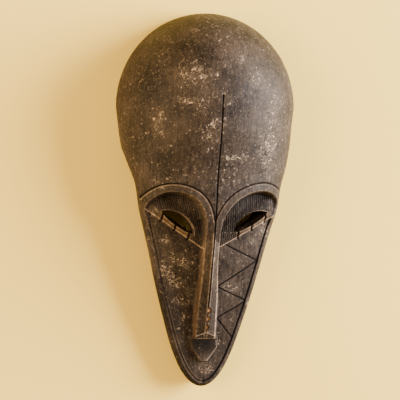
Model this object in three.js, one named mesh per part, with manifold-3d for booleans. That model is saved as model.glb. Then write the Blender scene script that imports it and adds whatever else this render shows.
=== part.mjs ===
// A hollow face mask carved from one block of dark wood, lying face up on its rim.
// Millimetres. X runs across the face, Y from the chin to the top of the dome, Z out of the rim plane.
import * as THREE from 'three';
import { mergeVertices } from 'three/addons/utils/BufferGeometryUtils.js';
import Module from 'manifold-3d';

const wasm = await Module();
wasm.setup();

// Overall size
const maskLength = 450;
const maskHalfWidth = 108.5;
const domeDepth = 106;
const wallThickness = 11;

// The rounded bead that runs along the edge of the face, and how far the rim is tucked in under it
const beadWidth = 7.5;
const beadHeight = 7.5;
const rimTuck = 8.5;

// Nose
const noseTipHalfWidth = 12;
const noseBridgeHalfWidth = 8.6;
const noseRidgeRise = 6.5;
const noseTipHeight = 35.5;
const noseLean = -2;

// Eyes: the slit, its tilt, the lid around it and the brow band above it
const slitHalfLength = 24.6;
const slitUpperHeight = 11;
const slitLowerHeight = 4.6;
const slitTilt = 31.5;
const eyeSpacing = 44.4;
const lidStep = 2.6;
const lidBulge = 4.2;
const lidDrop = 8.3;
const browBand = 9.6;
const browDraft = 5;
const eyeUnevenness = 3.6;

// Mouth block
const mouthHalfWidth = 15.5;
const mouthLength = 27;
const mouthLipHalfWidth = 4;
const mouthHeight = 6.5;
const mouthDraft = 1.6;

// Cut lines
const grooveWidth = 2.2;
const grooveDepth = 2.2;
const rimGrooveInset = 7.4;
const zigzagGap = 2.6;
const lashNotchWidth = 3;
const lashNotchDepth = 2.5;
const lashNotches = 3;
const noseChips = 3;
const noseChipLength = 10.6;
const noseChipWidth = 5.2;

const chinY = -maskLength / 2;
const domeY = maskLength / 2;
const aboveAll = 1.4 * domeDepth;

// How far from its end the chin and the dome are rounded, which is where the rows lie closer together
const chinRound = 25;
const domeRound = 60;

// A smooth curve through stations [share of the length from the chin, value], without overshoot
function profile(stations) {
  const xs = stations.map((s) => s[0]);
  const ys = stations.map((s) => s[1]);
  const last = xs.length - 1;
  const slope = xs.slice(1).map((x, i) => (ys[i + 1] - ys[i]) / (x - xs[i]));
  const tangent = ys.map((y, i) => {
    if (i === 0) return slope[0];
    if (i === last) return slope[last - 1];
    const product = slope[i - 1] * slope[i];
    return product > 0 ? (2 * product) / (slope[i - 1] + slope[i]) : 0;
  });
  return (y) => {
    const x = THREE.MathUtils.clamp((y - chinY) / maskLength, xs[0], xs[last]);
    let i = 0;
    while (i < last - 1 && x > xs[i + 1]) i++;
    const h = xs[i + 1] - xs[i];
    const t = (x - xs[i]) / h;
    return ys[i] * (1 + 2 * t) * (1 - t) ** 2 + h * tangent[i] * t * (1 - t) ** 2
      + ys[i + 1] * t * t * (3 - 2 * t) - h * tangent[i + 1] * t * t * (1 - t);
  };
}
const atShare = (share) => chinY + share * maskLength;
const smooth = (from, to, x) => THREE.MathUtils.smoothstep(x, from, to);

// Half-width of the outline seen from the front: a profile below, half an ellipse over the dome
const domeShare = 0.749;
const domeCentreY = atShare(domeShare);
const lowerOutline = profile([
  [0, 0], [0.0444, 0.0545], [0.109, 0.126], [0.193, 0.214], [0.28, 0.315], [0.367, 0.42],
  [0.429, 0.511], [0.484, 0.598], [0.538, 0.652], [0.607, 0.81], [0.667, 0.912], [domeShare, 1],
]);
function halfWidth(y) {
  if (y > domeCentreY) {
    const t = (y - domeCentreY) / (domeY - domeCentreY);
    return maskHalfWidth * Math.sqrt(Math.max(0, 1 - t * t));
  }
  return maskHalfWidth * Math.sqrt(Math.max(0, lowerOutline(y)));
}

// Height of the widest line above the rim plane
const edgeShare = profile([
  [0, 0.1698], [0.0444, 0.1792], [0.129, 0.1981], [0.216, 0.2406], [0.3, 0.2736], [0.344, 0.3019],
  [0.429, 0.3302], [0.478, 0.3585], [0.538, 0.3396], [0.62, 0.2075], [0.727, 0.0566], [1, 0.0377],
]);
const edgeHeight = (y) => domeDepth * edgeShare(y);

// Height of the forehead and dome along the middle, an ellipse beyond the highest point
const crownShare = 0.767;
const crownY = atShare(crownShare);
const foreheadShare = profile([
  [0.38, 0.66], [0.41, 0.735], [0.447, 0.785], [0.5, 0.813], [0.553, 0.833], [0.633, 0.912], [0.7, 0.978],
  [crownShare, 1],
]);
function crownHeight(y) {
  if (y > crownY) {
    const t = (y - crownY) / (domeY - crownY);
    const edge = edgeHeight(y);
    return edge + (domeDepth - edge) * Math.sqrt(Math.max(0, 1 - t * t));
  }
  return domeDepth * foreheadShare(y);
}
const ridgeSlope = profile([[0.35, 0.62], [0.49, 0.02], [1, 0]]);
function foreheadHeight(x, y) {
  const edge = edgeHeight(y);
  const width = halfWidth(y);
  const across = Math.abs(x);
  const u = Math.min(1, across / Math.max(width, 1e-6));
  const rise = (crownHeight(y) - edge) * (1 - u * u) ** 0.58;
  const height = edge + rise - ridgeSlope(y) * Math.min(across, noseTipHalfWidth);
  const nearEdge = smooth(width - 2 * beadWidth, width - beadWidth, across);
  const belowBrow = 1 - smooth(atShare(0.41), atShare(0.51), y);
  return height + (faceHeight(x, y) - 1 - height) * nearEdge * belowBrow;
}

// Height of the sunken face: a cheek that is arched a little, with the bead round its edge
const cheekShare = profile([
  [0, 0], [0.13, 0.0057], [0.23, 0.0189], [0.331, 0.066], [0.375, 0.0849], [0.456, 0.1226], [0.6, 0.1415],
]);
const cheekRise = (y) => domeDepth * cheekShare(y);
function faceHeight(x, y) {
  const width = halfWidth(y);
  const edge = edgeHeight(y);
  const bead = Math.min(beadWidth, width);
  const inside = width - bead;
  const endRound = Math.sqrt(Math.min(1, Math.max(0, 1 - (1 - (y - chinY) / beadWidth) ** 2)));
  const roundEnd = y - chinY < beadWidth ? endRound : 1;
  const across = Math.abs(x);
  if (across > inside) {
    const t = Math.min(1, (across - inside) / Math.max(bead, 1e-6));
    return edge + beadHeight * roundEnd * Math.sqrt(1 - t * t);
  }
  const u = across / Math.max(inside, 1e-6);
  return edge + beadHeight * roundEnd + cheekRise(y) * (1 - u * u);
}

// The eyes differ a little, as hand carving does: the one at +X sits higher and further out
const sides = [1, -1].map((sign) => ({
  sign,
  shift: sign * eyeUnevenness,
  tilt: THREE.MathUtils.degToRad(slitTilt - 0.6 * sign * eyeUnevenness),
}));
const slitShare = 0.4475;
const eyeCentre = (side) => [eyeSpacing + side.shift, atShare(slitShare) + 0.15 * side.shift];
function eyeToFace(side, along, up) {
  const [cx, cy] = eyeCentre(side);
  return [
    side.sign * (cx + along * Math.cos(side.tilt) - up * Math.sin(side.tilt)),
    cy + along * Math.sin(side.tilt) + up * Math.cos(side.tilt),
  ];
}
function upFromSlit(side, x, y) {
  const [cx, cy] = eyeCentre(side);
  return -(side.sign * x - cx) * Math.sin(side.tilt) + (y - cy) * Math.cos(side.tilt);
}

// Height of the lid: the face, lifted by a step at its lower border and a bulge above it
function lidHeight(side, x, y) {
  const up = upFromSlit(side, x, y) + lidDrop;
  const reach = 3.2 * lidDrop;
  const bulge = Math.sin(Math.PI * THREE.MathUtils.clamp(up / reach, 0, 1));
  const width = halfWidth(y);
  const fade = 1 - smooth(width - 2.2 * beadWidth, width - 0.4 * beadWidth, Math.abs(x));
  return faceHeight(x, y) + (lidStep + lidBulge * bulge) * fade;
}

// A closed solid from triangles, turned so that its faces point out
function solid(points, triangles) {
  const geometry = new THREE.BufferGeometry();
  geometry.setAttribute('position', new THREE.Float32BufferAttribute(points.flatMap((p) => p.toArray()), 3));
  geometry.setIndex(triangles);
  const merged = mergeVertices(geometry, 1e-4);
  const old = merged.index.array;
  const kept = [];
  for (let i = 0; i < old.length; i += 3) {
    const [a, b, c] = [old[i], old[i + 1], old[i + 2]];
    if (a !== b && b !== c && c !== a) kept.push(a, b, c);
  }
  const at = merged.getAttribute('position');
  const corner = kept.map((i) => new THREE.Vector3().fromBufferAttribute(at, i));
  let volume = 0;
  for (let i = 0; i < corner.length; i += 3) {
    volume += corner[i].dot(new THREE.Vector3().crossVectors(corner[i + 1], corner[i + 2]));
  }
  if (volume < 0) kept.reverse();
  const mesh = new wasm.Mesh({
    numProp: 3,
    vertProperties: new Float32Array(at.array),
    triVerts: new Uint32Array(kept),
  });
  return new wasm.Manifold(mesh);
}

// A closed solid through rings of equal count, with a flat lid on each end ring
function loft(rings) {
  const count = rings[0].length;
  const points = rings.flat();
  const triangles = [];
  for (let r = 0; r < rings.length - 1; r++) {
    for (let i = 0; i < count; i++) {
      const a = r * count + i;
      const b = r * count + ((i + 1) % count);
      triangles.push(a, b, b + count, a, b + count, a + count);
    }
  }
  const lastStart = (rings.length - 1) * count;
  for (const [a, b, c] of ringLid(rings[0])) triangles.push(c, b, a);
  for (const [a, b, c] of ringLid(rings.at(-1))) triangles.push(lastStart + a, lastStart + b, lastStart + c);
  return solid(points, triangles);
}
function ringLid(ring) {
  const normal = new THREE.Vector3();
  for (let i = 1; i < ring.length - 1; i++) {
    const a = ring[i].clone().sub(ring[0]);
    normal.add(a.cross(ring[i + 1].clone().sub(ring[0])));
  }
  if (normal.length() < 1e-3) return [];
  const turn = new THREE.Quaternion().setFromUnitVectors(normal.normalize(), new THREE.Vector3(0, 0, 1));
  const flat = ring.map((p) => {
    const q = p.clone().applyQuaternion(turn);
    return new THREE.Vector2(q.x, q.y);
  });
  return THREE.ShapeUtils.triangulateShape(flat, []);
}

// Rows along the mask, each a ring from rim to rim over the front and back along the rim plane
function spread(from, to, step) {
  const count = Math.max(1, Math.round((to - from) / step));
  return Array.from({ length: count + 1 }, (_, i) => from + ((to - from) * i) / count);
}
function roundStart(from, to, count) {
  return Array.from({ length: count }, (_, i) => to - (to - from) * Math.cos((Math.PI / 2) * (i / count)));
}
function outwards(y) {
  const step = 0.05;
  if (y <= chinY + step || y >= domeY - step) return [0, Math.sign(y)];
  const slope = (halfWidth(y + step) - halfWidth(y - step)) / (2 * step);
  const size = Math.hypot(1, slope);
  return [1 / size, -slope / size];
}
const tuckAt = (y) => rimTuck * (1 - smooth(atShare(0.55), atShare(0.645), y));
function hullRing(y, columns, height, shrink) {
  const width = Math.max(0, halfWidth(y) - shrink(y));
  const [nx, ny] = outwards(y);
  const tuck = tuckAt(y);
  const edge = edgeHeight(y);
  const front = columns(width).map((x) => new THREE.Vector3(x, y, height(x, y)));
  const wallPoint = (side, inset, z) =>
    new THREE.Vector3(side * Math.max(0, width - inset * nx), y - inset * ny, z);
  return [
    wallPoint(-1, tuck, 0),
    wallPoint(-1, 0.25 * tuck, 0.5 * edge),
    ...front,
    wallPoint(1, 0.25 * tuck, 0.5 * edge),
    wallPoint(1, tuck, 0),
  ];
}
const hull = (rows, columns, height, shrink = () => 0) =>
  loft(rows.map((y) => hullRing(y, columns, height, shrink)));

function domeColumns(width) {
  return spread(-90, 90, 7.5).map((angle) => width * Math.sin(THREE.MathUtils.degToRad(angle)));
}
function faceColumns(width) {
  const bead = Math.min(beadWidth, width);
  const beadSteps = [90, 66, 42, 20];
  const flat = spread(-1, 1, 0.17).map((share) => share * (width - bead));
  const beadAt = (angle) => width - bead + bead * Math.sin(THREE.MathUtils.degToRad(angle));
  return [
    ...beadSteps.map((angle) => -beadAt(angle)),
    ...flat,
    ...beadSteps.toReversed().map((angle) => beadAt(angle)),
  ];
}

// The brow edge: where forehead and nose drop into the eye socket. It curls round the outer corner
// of the eye and meets the line inside the bead.
const browStations = [
  [0.0196, 0.394], [0.0191, 0.43], [0.0238, 0.46], [0.0356, 0.4869], [0.0527, 0.5078], [0.0731, 0.5207],
  [0.096, 0.5289], [0.1233, 0.5313], [0.1464, 0.5258], [0.1656, 0.5133], [0.1773, 0.496], [0.1778, 0.4767],
  [0.1691, 0.4578],
];
const browEndY = atShare(0.4867);
function browCurve(side) {
  const points = browStations.map(([across, up], i) => {
    const outer = smooth(1, 7, i) - smooth(9, 12, i);
    const inner = 1 - smooth(1, 5, i);
    const x = across * maskLength + side.shift * outer + side.sign * noseLean * inner;
    return new THREE.Vector3(side.sign * x, atShare(up) + 0.3 * side.shift * outer, 0);
  });
  const below = [0.385, 0.35].map((share) => {
    const x = halfWidth(atShare(share)) - rimGrooveInset;
    return new THREE.Vector3(side.sign * x, atShare(share), 0);
  });
  const start = points[0].clone().setY(atShare(0.35));
  return new THREE.CatmullRomCurve3([start, ...points, ...below], false, 'centripetal');
}
const browSteps = 48;

// The socket is cut out of the forehead by a prism whose wall slopes in below the brow edge
function socketCutter(side) {
  const curve = browCurve(side);
  const path = curve.getPoints(browSteps);
  const into = path.map((p, i) => {
    const along = curve.getTangent(i / browSteps);
    return new THREE.Vector3(side.sign * along.y, -side.sign * along.x, 0);
  });
  const level = (inset, heightOf) =>
    path.map((p, i) => {
      const steepAtNose = 0.2 + 0.8 * smooth(0.16, 0.42, i / browSteps);
      const q = p.clone().addScaledVector(into[i], inset * steepAtNose);
      return q.setZ(heightOf(p, q));
    });
  const brow = (p) => foreheadHeight(p.x, p.y);
  const floor = (q) => lidHeight(side, q.x, q.y);
  const part = (share) => (p, q) => brow(p) + (Math.min(brow(p), floor(q)) - brow(p)) * share;
  return loft([
    level(0, () => aboveAll),
    level(0, (p) => brow(p)),
    level(0.35 * browDraft, part(0.45)),
    level(0.7 * browDraft, part(0.8)),
    level(browDraft, part(1.05)),
    level(browDraft, () => -wallThickness),
  ]);
}

// The lid stands on the face above a straight border below the slit
function lidRegion(side) {
  const far = maskLength / 4;
  const corners = [[-far, -lidDrop], [far, -lidDrop], [far, far], [-far, far]];
  const ring = (z) => corners.map(([along, up]) => new THREE.Vector3(...eyeToFace(side, along, up), z));
  const half = [[0, chinY], [side.sign * maskLength, chinY], [side.sign * maskLength, domeY], [0, domeY]];
  const halfRing = (z) => half.map(([x, y]) => new THREE.Vector3(x, y, z));
  const prism = loft([ring(0.5 * edgeHeight(atShare(slitShare))), ring(aboveAll)]);
  return prism.intersect(loft([halfRing(-1), halfRing(aboveAll + 1)]));
}

// The slit goes right through the lid. Its lower wall slopes, so that it shows from the front.
function slitCutter(side) {
  const outline = (scale, upper, lower, z) => {
    const steps = 12;
    const ring = [];
    for (let i = 0; i < 2 * steps; i++) {
      const top = i < steps;
      const t = top ? 1 - (2 * i) / steps : -1 + (2 * (i - steps)) / steps;
      const bow = (1 - t * t) ** 0.8;
      const [x, y] = eyeToFace(side, t * slitHalfLength * scale, (top ? upper : -lower) * bow);
      ring.push(new THREE.Vector3(x, y, z));
    }
    return ring;
  };
  const surface = lidHeight(side, ...eyeToFace(side, 0, 0));
  const flare = 1.12;
  return loft([
    outline(flare, slitUpperHeight * flare, slitLowerHeight * 1.5, surface + 9),
    outline(1, slitUpperHeight, slitLowerHeight, surface - 1),
    outline(0.9, slitUpperHeight * 0.95, 0, surface - wallThickness),
    outline(0.9, slitUpperHeight * 0.95, 0, 1),
  ]);
}

// The nose: a wedge with a ridge, wider and lower towards its square tip
const noseTipY = atShare(0.134);
const noseRidgeEndY = atShare(0.153);
const ridgeShare = profile([
  [0.153, 0.3962], [0.222, 0.4764], [0.284, 0.5708], [0.331, 0.6462], [0.38, 0.7217], [0.43, 0.7642],
]);
const ridgeHeight = (y) => domeDepth * ridgeShare(y);
const ridgeSharpness = profile([[0.167, 0.62], [0.331, 1]]);
const leanAt = (y) => noseLean * smooth(atShare(0.25), atShare(0.39), y);
const noseFlare = profile([[0.13, 1], [0.231, 0.75], [0.331, 0.1], [0.43, 0]]);
const noseHalfWidth = (y) =>
  noseBridgeHalfWidth + (noseTipHalfWidth - noseBridgeHalfWidth) * noseFlare(y);
const spreadShare = profile([[0.13, 0.367], [0.222, 0.408], [0.331, 0.133], [0.43, 0.083]]);
function noseRing(y, ridge, edge) {
  const top = noseHalfWidth(y);
  const foot = top + noseTipHalfWidth * spreadShare(y);
  const low = faceHeight(foot, y) - 4;
  return [[-foot, low], [-top, edge], [0, ridge], [top, edge], [foot, low]].map(
    ([x, z]) => new THREE.Vector3(x + leanAt(y), y, z),
  );
}
function nose() {
  const rows = [noseTipY, ...spread(noseRidgeEndY, atShare(0.43), 12)];
  const body = loft([
    noseRing(noseTipY - 0.6, noseTipHeight - 5, noseTipHeight - 5),
    ...rows.map((y) => noseRing(y, ridgeHeight(y), ridgeHeight(y) - noseRidgeRise * ridgeSharpness(y))),
  ]);
  return body.subtract(noseTipCut());
}

// The nose ends in a three-cornered facet, from the end of the ridge down to both corners of the tip
function noseTipCut() {
  const slope = (ridgeHeight(noseRidgeEndY) - noseTipHeight) / (noseRidgeEndY - noseTipY);
  const far = 3 * (noseRidgeEndY - noseTipY);
  const side = (x) => [
    new THREE.Vector3(x, noseTipY, noseTipHeight),
    new THREE.Vector3(x, noseTipY + far, noseTipHeight + slope * far),
    new THREE.Vector3(x, noseTipY, aboveAll),
  ];
  return loft([side(-2 * noseTipHalfWidth), side(2 * noseTipHalfWidth)]);
}

// The mouth: a low block under the nose with its lower corners cut off
function mouth() {
  const top = noseTipY + 2;
  const bottom = noseTipY - mouthLength;
  const shoulder = noseTipY - 0.4 * mouthLength;
  const outline = (grow) => [
    [-mouthHalfWidth - grow, top], [-mouthHalfWidth - grow, shoulder - 0.4 * grow],
    [-mouthLipHalfWidth - 0.4 * grow, bottom - grow], [mouthLipHalfWidth + 0.4 * grow, bottom - grow],
    [mouthHalfWidth + grow, shoulder - 0.4 * grow], [mouthHalfWidth + grow, top],
  ];
  const base = faceHeight(0, shoulder);
  const foot = outline(mouthDraft).map(([x, y]) => new THREE.Vector3(x, y, base - 5));
  const face = outline(0).map(([x, y]) => {
    const fall = (2.5 * (top - y)) / mouthLength;
    return new THREE.Vector3(x, y, base + mouthHeight - fall - 1.2 * (Math.abs(x) / mouthHalfWidth) ** 2);
  });
  return loft([foot, face]);
}

// A V-shaped cut along points that lie on a surface of height z = height(x, y)
function groove(path, height, width = grooveWidth, depth = grooveDepth) {
  const lift = 1.5;
  const rings = path.map(([x, y], i) => {
    const [ax, ay] = path[Math.max(0, i - 1)];
    const [bx, by] = path[Math.min(path.length - 1, i + 1)];
    const step = 0.4;
    const normal = new THREE.Vector3(
      (height(x - step, y) - height(x + step, y)) / (2 * step),
      (height(x, y - step) - height(x, y + step)) / (2 * step),
      1,
    ).normalize();
    const along = new THREE.Vector3(bx - ax, by - ay, height(bx, by) - height(ax, ay)).normalize();
    const across = new THREE.Vector3().crossVectors(normal, along).normalize();
    const centre = new THREE.Vector3(x, y, height(x, y));
    const half = (0.5 * width * (depth + lift)) / depth;
    return [
      centre.clone().addScaledVector(across, half).addScaledVector(normal, lift),
      centre.clone().addScaledVector(normal, -depth),
      centre.clone().addScaledVector(across, -half).addScaledVector(normal, lift),
    ];
  });
  return loft(rings);
}

// The line down the middle of the forehead and the nose
function middleLine() {
  const crest = (x, y) => {
    const forehead = foreheadHeight(0, y);
    return y > atShare(0.38) ? Math.max(forehead, ridgeHeight(y)) : ridgeHeight(y);
  };
  const rows = spread(atShare(0.222), atShare(0.782), 14);
  return groove(rows.map((y) => [0.5 * leanAt(y), y]), crest, grooveWidth * 0.9);
}

// The line that follows each brow, one band above its edge, and ends at the middle
function browLine(side) {
  const curve = browCurve(side);
  const path = [];
  for (let i = 0; i <= browSteps; i++) {
    const at = curve.getPoint(i / browSteps);
    const along = curve.getTangent(i / browSteps);
    const x = at.x - side.sign * along.y * browBand;
    const y = at.y + side.sign * along.x * browBand;
    const inMask = Math.abs(x) < halfWidth(y) - 1.5;
    const pastMiddle = side.sign * (x - 0.5 * noseLean) < 0;
    if (!pastMiddle && inMask && y > atShare(0.45)) path.push([x, y]);
  }
  return groove(path, foreheadHeight, grooveWidth * 0.85);
}

// The zigzag on each cheek, from the eye to beside the mouth. Each corner is given as its share of the
// way from the middle to the rim line, and its share of the mask's length.
const zigzagStations = [
  [0.319, 0.3867], [0.9525, 0.3476], [0.2765, 0.2776], [0.9688, 0.2384], [0.3675, 0.1907], [0.9717, 0.1358],
];
function zigzag(side) {
  const corners = zigzagStations.map(([across, up]) => {
    const toRimLine = halfWidth(atShare(up)) - rimGrooveInset;
    return [side.sign * across * toRimLine, atShare(up)];
  });
  return corners.slice(1).map((end, i) => {
    const start = i === 0 ? corners[0] : [corners[i][0], corners[i][1] - zigzagGap];
    const stretch = 0.04;
    const share = (t) => [start[0] + (end[0] - start[0]) * t, start[1] + (end[1] - start[1]) * t];
    return groove([-stretch, 0.25, 0.5, 0.75, 1 + stretch].map(share), faceHeight);
  });
}

// The line inside the bead, from under one eye round the chin to the other
function rimLine() {
  const inner = (y, sign) => {
    const [nx, ny] = outwards(y);
    return [sign * Math.max(0, halfWidth(y) - rimGrooveInset * nx), y - rimGrooveInset * ny];
  };
  const roundedTo = atShare(0.06);
  const rows = [...roundStart(chinY, roundedTo, 6).slice(1), ...spread(roundedTo, atShare(0.452), 13)];
  const right = rows.map((y) => inner(y, 1));
  const left = rows.map((y) => inner(y, -1));
  return groove([...left.toReversed(), [0, chinY + rimGrooveInset], ...right], faceHeight);
}

// Short notches across the lower lid, between the slit and the lid's border
function lashNotchCuts(side) {
  return Array.from({ length: lashNotches }, (_, i) => {
    const along = (i - (lashNotches - 1) / 2) * 0.78 * slitHalfLength + 1;
    const from = eyeToFace(side, along, -0.2 * slitLowerHeight);
    const to = eyeToFace(side, along - 4, -lidDrop - 0.8);
    const lid = (x, y) => lidHeight(side, x, y);
    return groove([from, to], lid, lashNotchWidth, lashNotchDepth);
  });
}

// Three-cornered chips out of the nose, on one side of its ridge near the tip
function noseChipCuts() {
  return Array.from({ length: noseChips }, (_, i) => {
    const top = atShare(0.225) - i * noseChipLength;
    const foot = top - 0.97 * noseChipLength;
    const tip = noseChipWidth * (1 - 0.15 * i);
    const outline = [[-0.3, top], [-0.3, foot], [tip, foot + 0.48 * noseChipLength]];
    const above = outline.map(([x, y]) => new THREE.Vector3(x, y, ridgeHeight(y) + 4));
    const below = outline.map(([x, y]) => new THREE.Vector3(x, y, ridgeHeight(y) - 3 - 0.2 * x));
    return loft([below, above]);
  });
}

// The hollow behind: an even wall at the rim, smooth and plain inside
const hollowCrownShare = 0.789;
const backedShare = profile([
  [0.035, 0.144], [0.127, 0.264], [0.231, 0.319], [0.331, 0.404], [0.411, 0.489], [0.456, 0.549],
  [0.5, 0.614], [0.533, 0.669], [0.578, 0.794], [0.633, 0.894], [0.727, 0.989], [hollowCrownShare, 1],
]);
const hollowStart = chinY + rimTuck + wallThickness;
const hollowEnd = domeY - wallThickness;
function hollowHeight(x, y) {
  const start = Math.sqrt(smooth(hollowStart, hollowStart + 3 * wallThickness, y));
  const centre = atShare(hollowCrownShare);
  const t = Math.max(0, (y - centre) / (hollowEnd - centre));
  const end = Math.sqrt(Math.max(0, 1 - t * t));
  const width = Math.max(1e-6, hollowHalfWidth(y));
  const u = Math.min(1, Math.abs(x) / width);
  const depth = domeDepth * backedShare(y) - wallThickness;
  return depth * start * end * Math.sqrt(1 - u * u);
}
function hollowHalfWidth(y) {
  if (y <= hollowStart || y >= hollowEnd) return 0;
  const middle = (hollowStart + hollowEnd) / 2;
  const scaled = y < middle
    ? chinY + rimTuck + ((y - hollowStart) / (middle - hollowStart)) * (middle - chinY - rimTuck)
    : domeY - ((hollowEnd - y) / (hollowEnd - middle)) * (domeY - middle);
  const outer = halfWidth(scaled) - tuckAt(scaled) * outwards(scaled)[0];
  return Math.max(0, outer - wallThickness * Math.min(1, outwards(scaled)[0] + 0.15));
}
function hollow() {
  const rows = [
    ...roundStart(hollowStart, hollowStart + chinRound, 5),
    ...spread(hollowStart + chinRound, hollowEnd - domeRound, 18),
    ...roundStart(hollowEnd, hollowEnd - domeRound, 7).toReversed(),
  ];
  const rings = rows.map((y) => {
    const width = hollowHalfWidth(y);
    const arch = spread(-90, 90, 15).map((angle) => width * Math.sin(THREE.MathUtils.degToRad(angle)));
    return [
      new THREE.Vector3(-width, y, -2),
      ...arch.map((x) => new THREE.Vector3(x, y, hollowHeight(x, y))),
      new THREE.Vector3(width, y, -2),
    ];
  });
  return loft(rings);
}

function carveMask() {
  const underForehead = spread(atShare(0.497), atShare(0.57), 8);
  const buried = (y) => (y > browEndY ? 3 : 0);
  const chinRows = roundStart(chinY, chinY + chinRound, 7);
  const faceRows = [...chinRows, ...spread(chinY + chinRound, browEndY, 11), ...underForehead];
  const lidRows = [...spread(atShare(0.355), browEndY, 6), ...underForehead];
  const foreheadRows = [
    ...spread(atShare(0.375), browEndY, 7),
    ...spread(browEndY, domeY - domeRound, 10).slice(1, -1),
    ...roundStart(domeY, domeY - domeRound, 9).toReversed(),
    domeY,
  ];
  let mask = hull(foreheadRows, domeColumns, foreheadHeight);
  for (const side of sides) mask = mask.subtract(socketCutter(side));
  mask = mask.add(hull(faceRows, faceColumns, faceHeight, buried));
  for (const side of sides) {
    const lid = hull(lidRows, faceColumns, (x, y) => lidHeight(side, x, y), buried);
    mask = mask.add(lid.intersect(lidRegion(side)));
  }
  mask = mask.add(nose()).add(mouth());
  mask = mask.subtract(hollow());
  const cuts = [middleLine(), rimLine(), ...noseChipCuts()];
  for (const side of sides) {
    cuts.push(slitCutter(side), browLine(side), ...zigzag(side), ...lashNotchCuts(side));
  }
  for (const cut of cuts) mask = mask.subtract(cut);
  return mask;
}

function geometryOf(made) {
  const mesh = made.getMesh();
  const geometry = new THREE.BufferGeometry();
  geometry.setAttribute('position', new THREE.BufferAttribute(mesh.vertProperties, 3));
  geometry.setIndex(new THREE.BufferAttribute(mesh.triVerts, 1));
  geometry.computeVertexNormals();
  return geometry;
}

const stainedWood = new THREE.MeshStandardMaterial({ color: '#3a2f28', roughness: 0.55, metalness: 0 });
const mask = new THREE.Mesh(geometryOf(carveMask()), stainedWood);
mask.name = 'mask';

const model = new THREE.Group();
model.add(mask);
export default model;
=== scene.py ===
import math

import bmesh
import bpy
import numpy as np
from mathutils import Matrix, Vector


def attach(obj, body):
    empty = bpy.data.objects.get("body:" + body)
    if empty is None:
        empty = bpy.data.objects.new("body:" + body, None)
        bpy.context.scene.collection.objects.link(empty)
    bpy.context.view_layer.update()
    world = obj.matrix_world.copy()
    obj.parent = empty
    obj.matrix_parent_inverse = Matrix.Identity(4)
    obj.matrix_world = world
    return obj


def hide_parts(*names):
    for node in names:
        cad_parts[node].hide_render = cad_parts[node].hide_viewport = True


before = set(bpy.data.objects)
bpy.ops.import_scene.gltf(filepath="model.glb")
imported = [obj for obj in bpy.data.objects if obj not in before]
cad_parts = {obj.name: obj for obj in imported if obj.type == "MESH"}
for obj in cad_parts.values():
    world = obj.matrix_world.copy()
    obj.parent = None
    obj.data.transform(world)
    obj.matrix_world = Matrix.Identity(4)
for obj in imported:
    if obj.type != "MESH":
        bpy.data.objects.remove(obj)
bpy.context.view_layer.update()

# Sizes of the carved mask in millimetres, the same as in the solid that this shell replaces
MM = 0.001
MASK_LENGTH = 450
MASK_HALF_WIDTH = 108.5
DOME_DEPTH = 106
WALL = 11
BEAD_WIDTH = 7.5
BEAD_HEIGHT = 7.5
RIM_TUCK = 8.5
NOSE_TIP_HALF_WIDTH = 12
NOSE_BRIDGE_HALF_WIDTH = 8.6
NOSE_RIDGE_RISE = 6.5
NOSE_TIP_HEIGHT = 35.5
NOSE_LEAN = -2
SLIT_HALF_LENGTH = 24.6
SLIT_UPPER = 11
SLIT_LOWER = 4.6
SLIT_TILT = 31.5
EYE_SPACING = 44.4
LID_STEP = 2.6
LID_BULGE = 4.2
LID_DROP = 8.3
BROW_BAND = 9.6
BROW_DRAFT = 5
EYE_UNEVENNESS = 3.6
MOUTH_HALF_WIDTH = 15.5
MOUTH_LENGTH = 27
MOUTH_LIP_HALF_WIDTH = 4
MOUTH_HEIGHT = 6.5
MOUTH_DRAFT = 3
GROOVE_WIDTH = 2.4
GROOVE_DEPTH = 2.2
RIM_GROOVE_INSET = 7.4
ZIGZAG_GAP = 2.6
NOTCH_WIDTH = 3
NOTCH_DEPTH = 2.5
NOTCHES = 3
CHIPS = 3
CHIP_LENGTH = 10.6
CHIP_WIDTH = 5.2
HATCH_SPACING = 2.5
HATCH_DEPTH = 0.5

CHIN_Y = -MASK_LENGTH / 2
DOME_Y = MASK_LENGTH / 2
DOME_SHARE = 0.749
CROWN_SHARE = 0.767
SLIT_SHARE = 0.4475
HOLLOW_CROWN_SHARE = 0.789
TINY = 1e-6
NOWHERE = -100.0


def profile(stations):
    """A smooth curve without overshoot through pairs: share of the length from the chin, value"""
    xs = np.array([s[0] for s in stations], float)
    ys = np.array([s[1] for s in stations], float)
    slope = np.diff(ys) / np.diff(xs)
    product = slope[:-1] * slope[1:]
    total = np.where(product > 0, slope[:-1] + slope[1:], 1)
    tangent = np.concatenate([slope[:1], np.where(product > 0, 2 * product / total, 0), slope[-1:]])

    def value(y):
        x = np.clip((np.asarray(y, float) - CHIN_Y) / MASK_LENGTH, xs[0], xs[-1])
        i = np.clip(np.searchsorted(xs, x, side="right") - 1, 0, len(xs) - 2)
        h = xs[i + 1] - xs[i]
        t = (x - xs[i]) / h
        return (ys[i] * (1 + 2 * t) * (1 - t) ** 2 + h * tangent[i] * t * (1 - t) ** 2
                + ys[i + 1] * t * t * (3 - 2 * t) - h * tangent[i + 1] * t * t * (1 - t))

    return value


def at_share(share):
    return CHIN_Y + share * MASK_LENGTH


def smooth(start, end, x):
    t = np.clip((np.asarray(x, float) - start) / (end - start), 0, 1)
    return t * t * (3 - 2 * t)


NOISE_CELLS = 256


def noise(x, y, size, seed):
    """Smooth noise from 0 to 1 whose blobs are about size millimetres across"""
    table = np.random.default_rng(seed).random((NOISE_CELLS, NOISE_CELLS))
    gx, gy = np.asarray(x) / size, np.asarray(y) / size
    ix, iy = np.floor(gx).astype(int), np.floor(gy).astype(int)
    fx, fy = smooth(0, 1, gx - ix), smooth(0, 1, gy - iy)

    def corner(i, j):
        return table[(ix + i) % NOISE_CELLS, (iy + j) % NOISE_CELLS]

    low = corner(0, 0) * (1 - fx) + corner(1, 0) * fx
    high = corner(0, 1) * (1 - fx) + corner(1, 1) * fx
    return low * (1 - fy) + high * fy


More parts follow.
